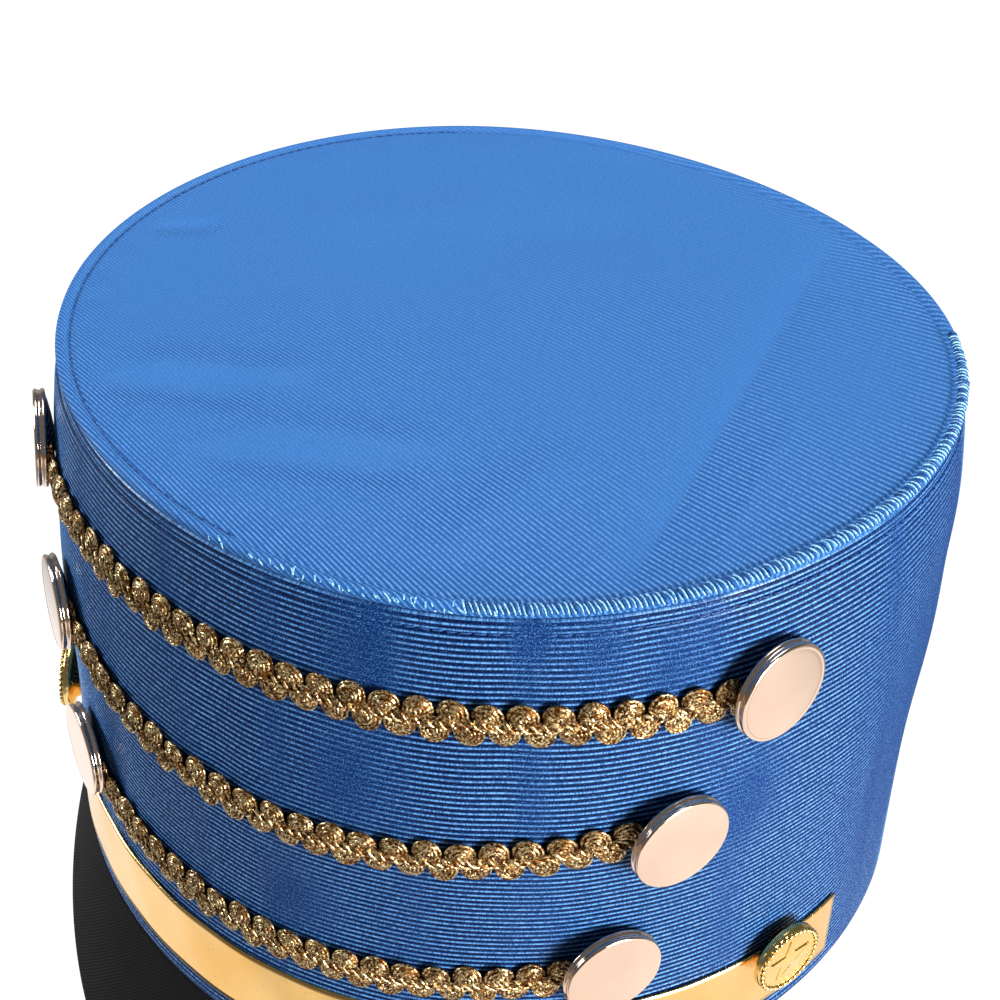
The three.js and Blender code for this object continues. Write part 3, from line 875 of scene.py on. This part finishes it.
# Painted glints and painted shade: flakes take pale gold or near black at random for the yarn's glitter;
# the brown tarnish below is its own colour
tone = wiring.mix(wiring.spread(flake_tone, 0.42, 0.85), (0.055, 0.012, 0.0005, 1), (1.0, 0.8, 0.42, 1))
tone = wiring.mix(wiring.spread(tarnish, 0.3, 0.7, 0.0, 0.45), tone, (0.36, 0.13, 0.015, 1))
wiring.feed(tone, surface["Base Color"])
wiring.roughen(surface, flake_tone, 0.6)
wiring.feed(wiring.spread(flake_tone, 0, 1, 0.5, 0.3), surface["Roughness"])
surface["Metallic"].default_value = 0.9

# A near-black strip under the shells: painted shade for the gaps between them
braid_gap_shade, surface, _ = new_material("braid gap shade")
surface["Base Color"].default_value = (0.005, 0.0025, 0.001, 1)
surface["Roughness"].default_value = 0.9
surface["Specular IOR Level"].default_value = 0.02


def braid_line(row, count):
    """Angles and heights of one braid's middle line."""
    _, front, end_height, button_angle, _ = row
    button_angle = math.radians(button_angle)
    radius = np.linalg.norm(crown_face(button_angle, end_height)[:2])
    end = button_angle - (SHANK_RADIUS + BRAID_SHORT) / radius
    angles = np.linspace(-end, end, count)
    return angles, front + (end_height - front) * (angles / end) ** 2


def polar(turn, reach, level):
    """Points about Z by turn, reach and level."""
    return stacked(reach * np.cos(turn), reach * np.sin(turn), level)


def scroll(start, stop, from_reach, to_reach, count, lift):
    """A curl of yarn seen from outside, in the seat's own frame."""
    turn = np.radians(np.linspace(start, stop, count))
    reach = np.linspace(from_reach, to_reach, count)
    return polar(turn, reach, lift + SHELL_DOME * (1 - (reach / SHELL_REACH) ** 2))


def pad(radius, height, rings, facets):
    """A low dome of packed yarn."""
    spokes = np.linspace(0, 2 * math.pi, facets, endpoint=False)
    levels = np.radians(np.linspace(-10, 78, rings))
    body = [polar(spokes, radius * math.cos(level), height * math.sin(level)) for level in levels]
    return np.concatenate(body), capped_faces(rings, facets)


SHELL_PARTS = (
    ("rim", scroll(205, -38, SHELL_REACH, SHELL_REACH * 0.98, 15, 0.0), 1.0),
    ("curl", scroll(195, -30, SHELL_REACH * 0.74, SHELL_REACH * 0.7, 13, 0.12), 1.05),
    ("core", scroll(200, -60, SHELL_REACH * 0.48, SHELL_REACH * 0.44, 10, 0.2), 1.05),
    ("eye", scroll(160, -200, SHELL_REACH * 0.24, SHELL_REACH * 0.2, 9, 0.2), 1.1),
    ("tail", np.array([(-1.9, -0.9, 0.1), (-2.3, -1.6, 0.15), (-2.9, -2.2, 0.1), (-3.4, -2.5, 0.0)]), 0.9),
)
# Share of the half width and thickness, round the cut of a braid's ground
GROUND_CUT = (
    (-1.0, 0.0), (-0.5, 0.0), (0.5, 0.0), (1.0, 0.0), (1.0, 0.3), (0.5, 0.6), (-0.5, 0.6), (-1.0, 0.3),
)
for row in BRAIDS:
    name = row[0]
    fine_angles, fine_heights = braid_line(row, 600)
    travelled = distance_along(crown_face(fine_angles, fine_heights))
    count = int(round(travelled[-1] / BRAID_LOOP))
    pitch = travelled[-1] / count

    ground_angles, ground_heights = braid_line(row, count * 8 + 1)
    wave = np.cos(np.linspace(0, 2 * math.pi * count, count * 8 + 1))
    upper = BRAID_WIDTH / 2 - GROUND_EDGE - GROUND_SCALLOP * (1 - wave)
    lower = BRAID_WIDTH / 2 - GROUND_EDGE - GROUND_SCALLOP * (1 + wave)
    ground = []
    for across, thick in GROUND_CUT:
        side_reach = across * (upper if across > 0 else lower)
        ground.append(crown_point(ground_angles, ground_heights + side_reach, GAP + thick))
    ground_points = np.stack(ground, axis=1).reshape(-1, 3)
    ground_faces = capped_faces(len(ground_angles), len(GROUND_CUT))
    base = add_mesh(name + "_ground", stand(ground_points), ground_faces)
    base.data.materials.append(braid_gap_shade)
    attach(base, "root")
    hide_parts(name)

    for side, shift, flip in (("top", 0.25, 1), ("bottom", 0.75, -1)):
        at = np.interp((np.arange(count) + shift) * pitch, travelled, fine_angles)
        middle = np.interp(at, fine_angles, fine_heights)
        along, outward = crown_axes(at, middle)
        across = flip * (BRAID_WIDTH / 2 - SHELL_REACH - YARN)
        seats = crown_point(at, middle + across, GAP + SHELL_SEAT)
        for part, path, thick in SHELL_PARTS:
            loop = tube(path * (1, flip, 1), YARN * thick, 6)
            label = f"{name}_{side}_{part}"
            repeat_on_seats(label, seats, along, outward, loop, tinsel, 0.05, 0.14, 11)
        dome = pad(SHELL_REACH * 0.98, 0.86, 4, 14)
        label = f"{name}_{side}_pad"
        repeat_on_seats(label, seats, along, outward, dome, tinsel, 0.04, 0.1, 12)

    count = int(travelled[-1] / STRAND_STEP)
    strand_angles = np.interp(np.linspace(0, travelled[-1], count), travelled, fine_angles)
    strand_heights = np.interp(strand_angles, fine_angles, fine_heights)
    twist = np.linspace(0, travelled[-1] / pitch * 2 * math.pi, count)
    for strand, phase in STRANDS:
        sway = STRAND_SWAY * np.cos(twist + phase) + 0.2 * np.cos(2.7 * twist)
        out = GAP + 1.2 + 0.35 * np.sin(twist + phase)
        path = crown_point(strand_angles, strand_heights + sway, out)
        points, faces = tube(path, STRAND_RADIUS, 6)
        cord = add_mesh(f"{name}_strand_{strand}", stand(points), faces)
        cord.data.materials.append(tinsel)
        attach(cord, "root")


# Flat buttons
# Pressed shells of rose-gold plated brass, crimped over a backing plate with a shank. The face is
# almost flat and polished, inside a rolled rim, and wear has tipped the right ones back.
BUTTON_FACE = 4.9
# Side and its sign, lean to the back in degrees, drop, and sink into the cloth
BUTTON_SIDES = (("left", -1, 0.0, 0.3, 0.8), ("right", 1, 11.0, 1.4, 0.0))
BUTTON_FACETS = 96
BUTTON_PIVOT = 1.0
# Radius and height over the crown, from the shank's foot round the back and rim to the face
BUTTON_PROFILE = (
    (0.0, GAP), (2.0, GAP), (SHANK_RADIUS, 0.5), (2.6, 0.75), (5.0, 1.15), (7.6, 1.75), (9.0, 2.15),
    (9.4, 2.25), (9.7, 2.32), (10.1, 2.34), (10.38, 2.52), (10.5, 2.8), (10.44, 3.1), (10.2, 3.3),
    (10.12, 3.5), (10.14, 3.8), (10.3, 4.05), (10.4, 4.3), (10.32, 4.58), (10.1, 4.78), (9.8, 4.86),
    (9.55, 4.83), (9.42, 4.79), (9.3, 4.8), (9.0, 4.83), (8.4, 4.85), (7.0, 4.87), (4.0, 4.89),
    (0.0, BUTTON_FACE),
)


def lathe(profile, facets):
    """Points and faces of a turned shape about Z, its two ends on the axis."""
    spokes = np.linspace(0, 2 * math.pi, facets, endpoint=False)
    body = [polar(spokes, reach, level) for reach, level in profile[1:-1]]
    ends = [[(0.0, 0.0, level)] for level in (profile[0][1], profile[-1][1])]
    return np.concatenate(body + ends), domed_faces(len(body), facets)


def seat_on_crown(points, angle_degrees, height, lean=0.0, pivot=0.0):
    """A shape drawn about Z, stood along the crown's normal, or leaning back about a pivot height."""
    angle = math.radians(angle_degrees)
    along, outward = crown_axes(angle, height)
    turn = math.radians(lean) * math.copysign(1, angle_degrees)
    raised = (0.0, 0.0, pivot)
    leaning = (points - raised) @ np.array(Matrix.Rotation(-turn, 3, "Y")) + raised
    return crown_face(angle, height) + leaning @ np.stack([along, np.cross(outward, along), outward])


rose_gold = metal_material("rose gold plate", (0.86, 0.61, 0.46), 0.07, 0.006, (0.92, 0.7, 0.54))
button_points, button_faces = lathe(BUTTON_PROFILE, BUTTON_FACETS)
for number, row in enumerate(BRAIDS, start=1):
    for side, sign, lean, drop, sink in BUTTON_SIDES:
        node = f"button_{side}_{number}"
        spot = (sign * row[3], row[4] - drop)
        placed = seat_on_crown(button_points - (0, 0, sink), *spot, lean, BUTTON_PIVOT)
        button = add_mesh(node + "_shell", stand(placed), button_faces)
        button.data.materials.append(rose_gold)
        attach(button, "root")
        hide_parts(node)


# Star buttons
# Deep cast buttons of yellow gold plate, one at each side on the upper edge of the band. Each has a
# rope of small beads round its rim and a plain five-pointed star raised on its face.
STAR_ANGLE = 65.6
STAR_HEIGHT = 22.6
STAR_SEAT = 1.2
STAR_FACE = 5.2
STAR_POINTS = 5
STAR_OUTER = 5.6
STAR_INNER = 2.35
STAR_RISE = 0.65
STAR_PROFILE = (
    (0.0, STAR_SEAT), (5.4, STAR_SEAT), (5.7, 1.4), (6.1, 2.45), (7.2, 2.75), (7.9, 2.95), (8.25, 3.3),
    (8.3, 3.9), (8.25, 4.5), (8.0, 4.85), (7.6, 5.1), (6.9, 5.2), (6.6, 5.05), (6.2, 5.05), (4.0, 5.12),
    (0.0, STAR_FACE),
)
STAR_LEVELS = ((1.0, -0.4), (1.0, 0.02), (0.93, 0.2), (0.5, 0.42))
ROPE_BEADS = 34
ROPE_REACH = 7.6
ROPE_LEVEL = 5.1

yellow_gold = metal_material("yellow gold plate", (0.9, 0.58, 0.16), 0.14, 0.02, (0.96, 0.7, 0.3))
star_disc = lathe(STAR_PROFILE, 72)
corners = np.arange(2 * STAR_POINTS)
tip_turns = math.pi / 2 + math.pi * corners / STAR_POINTS
tips = np.where(corners % 2, STAR_INNER, STAR_OUTER)
star_rows = [polar(tip_turns, tips * share, STAR_FACE + rise) for share, rise in STAR_LEVELS]
star_ends = [[(0.0, 0.0, STAR_FACE + rise)] for rise in (STAR_LEVELS[0][1], STAR_RISE)]
star_points = np.concatenate(star_rows + star_ends)
star_faces = domed_faces(len(STAR_LEVELS), 2 * STAR_POINTS)
bead_path = [(-0.62, -0.45, 0.0), (-0.3, -0.22, 0.1), (0.3, 0.22, 0.1), (0.62, 0.45, 0.0)]
bead = tube(bead_path, np.array([0.3, 0.5, 0.5, 0.3]), 7)
rope_turns = np.linspace(0, 2 * math.pi, ROPE_BEADS, endpoint=False)
rope_ring = polar(rope_turns, ROPE_REACH, ROPE_LEVEL)
rope_along = stacked(-np.sin(rope_turns), np.cos(rope_turns), 0.0)
for side, sign in (("left", -1), ("right", 1)):
    node = f"star_button_{side}"
    spot = (sign * STAR_ANGLE, STAR_HEIGHT)
    disc = add_mesh(node + "_disc", stand(seat_on_crown(star_disc[0], *spot)), star_disc[1])
    star = add_mesh(node + "_star", stand(seat_on_crown(star_points, *spot)), star_faces, smooth=False)
    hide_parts(node)
    for piece in (disc, star):
        piece.data.materials.append(yellow_gold)
        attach(piece, "root")
    seats = seat_on_crown(rope_ring, *spot)
    along = seat_on_crown(rope_along, *spot) - seat_on_crown(np.zeros((1, 3)), *spot)
    outward = np.broadcast_to(crown_axes(math.radians(spot[0]), spot[1])[1], seats.shape)
    repeat_on_seats(node + "_rope", seats, along, outward, bead, yellow_gold, seed=13)


# Camera, floor and studio light
# The camera stands where the photograph's stood, measured from the hat: right of its front and above.
# A key softbox stands low at the right, a weaker one at the left, and a large one hangs behind.
CAMERA_AZIMUTH = math.radians(26.37)
CAMERA_ELEVATION = math.radians(39.67)
CAMERA_ROLL = math.radians(1.03)
CAMERA_DISTANCE = 433.0
CAMERA_AIM = np.array([0.0, 0.0, 89.7])
FOCAL_PIXELS = 2000.0
IMAGE_PIXELS = 1000.0
IMAGE_OFFSET = (-13.0, -21.1)
SENSOR = 36.0

back = np.array([
    math.sin(CAMERA_AZIMUTH) * math.cos(CAMERA_ELEVATION),
    -math.cos(CAMERA_AZIMUTH) * math.cos(CAMERA_ELEVATION),
    math.sin(CAMERA_ELEVATION),
])
level_right = np.array([math.cos(CAMERA_AZIMUTH), math.sin(CAMERA_AZIMUTH), 0.0])
level_up = np.cross(back, level_right)
right = math.cos(CAMERA_ROLL) * level_right + math.sin(CAMERA_ROLL) * level_up
upward = math.cos(CAMERA_ROLL) * level_up - math.sin(CAMERA_ROLL) * level_right
camera = bpy.data.objects.new("camera", bpy.data.cameras.new("camera"))
bpy.context.scene.collection.objects.link(camera)
camera.data.sensor_fit = "HORIZONTAL"
camera.data.sensor_width = SENSOR
camera.data.lens = FOCAL_PIXELS / IMAGE_PIXELS * SENSOR
camera.data.shift_x = -IMAGE_OFFSET[0] / IMAGE_PIXELS
camera.data.shift_y = IMAGE_OFFSET[1] / IMAGE_PIXELS
camera.data.clip_start = 0.01
turned = Matrix(stand_directions(np.stack([right, upward, back])).T.tolist())
place = Vector(stand(CAMERA_AIM + back * CAMERA_DISTANCE))
camera.matrix_world = Matrix.Translation(place) @ turned.to_4x4()
bpy.context.scene.camera = camera


def add_softbox(name, place, aim, size, power, color=(1.0, 1.0, 1.0)):
    light = bpy.data.lights.new(name, "AREA")
    light.shape = "RECTANGLE"
    light.size, light.size_y = size
    light.energy = power
    light.color = color
    lamp = bpy.data.objects.new(name, light)
    bpy.context.scene.collection.objects.link(lamp)
    turn = (Vector(aim) - Vector(place)).to_track_quat("-Z", "Y").to_matrix().to_4x4()
    lamp.matrix_world = Matrix.Translation(Vector(place)) @ turn


add_softbox("key softbox", (1.3, -0.4, 0.44), (0, 0, 0.08), (0.6, 0.6), 42)
add_softbox("left softbox", (-1.2, -0.2, 0.5), (0, 0, 0.08), (0.5, 0.5), 15, (0.8, 0.92, 1.0))
add_softbox("top softbox", (-0.2, 0.75, 1.15), (0, 0, 0.1), (0.8, 0.8), 15.5)

# The backdrop and the floor look pure white to the camera and throw little light on the hat. Gloss
# sees the floor bright only close round the front and at the right
world = bpy.data.worlds.new("studio")
world.use_nodes = True
wiring = Wiring(world.node_tree)
seen = wiring.node("LightPath").outputs["Is Camera Ray"]
backdrop = wiring.mix(seen, (0.13, 0.132, 0.136, 1), (1, 1, 1, 1))
wiring.feed(backdrop, world.node_tree.nodes["Background"].inputs["Color"])
bpy.context.scene.world = world
bpy.context.scene.view_settings.view_transform = "Standard"

FLOOR_HALF = 3.0
floor_corners = np.array([(-1, -1, 0), (1, -1, 0), (1, 1, 0), (-1, 1, 0)]) * FLOOR_HALF
floor = add_mesh("floor", floor_corners, [(0, 1, 2, 3)])
pale, surface, wiring = new_material("pale floor")
rays = wiring.node("LightPath").outputs
place = wiring.node("TexCoord").outputs["Object"]
reach = wiring.node("VectorMath", ((0, place),), operation="LENGTH").outputs["Value"]
sides = wiring.node("SeparateXYZ", ((0, place),)).outputs
lit = wiring.math("MAXIMUM", wiring.spread(reach, 0.2, 0.15), wiring.spread(sides[0], 0.05, 0.1))
lit = wiring.math("MULTIPLY", lit, wiring.spread(sides[1], 0.06, 0.0))
lit = wiring.math("MAXIMUM", wiring.spread(lit, 0.0, 1.0, 0.2, 1.0), rays["Is Camera Ray"])
lit = wiring.math("MULTIPLY", lit, wiring.math("SUBTRACT", 1.0, rays["Is Diffuse Ray"]))
wiring.feed(wiring.mix(lit, (0, 0, 0, 1), (1, 1, 1, 1)), surface["Emission Color"])
surface["Emission Strength"].default_value = 1.0
surface["Base Color"].default_value = (0.05, 0.05, 0.05, 1)
surface["Roughness"].default_value = 0.9
floor.data.materials.append(pale)
